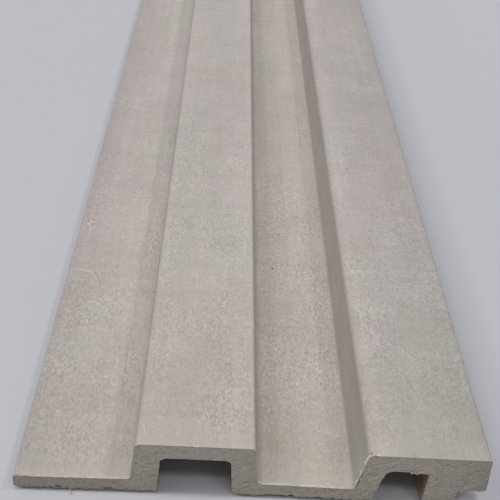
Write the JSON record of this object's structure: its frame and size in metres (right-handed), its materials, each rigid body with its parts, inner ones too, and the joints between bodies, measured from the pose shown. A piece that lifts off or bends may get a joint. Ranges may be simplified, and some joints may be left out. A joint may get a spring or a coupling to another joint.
{
  "type": "wall batten",
  "caption": "Long extruded foam-plastic wall batten with flat-topped, hollow-backed ribs, a groove between them, a thin fixing lip along an edge and a rebate that laps the next length.",
  "frame": {"origin": "middle of the flat back, half way along the length and across the overall width", "axes": "+Y along the length, +X from the lip edge to the lapping edge, +Z out of the face"},
  "size_m": [0.1219, 2.9, 0.018],
  "materials": {
    "film_wrapped_foam": "matte, finely embossed beige-grey wood-effect film over foamed pvc, bare foam at the sawn ends and back"
  },
  "bodies": {
    "root": {"wall_batten": "film_wrapped_foam"}
  },
  "joints": []
}
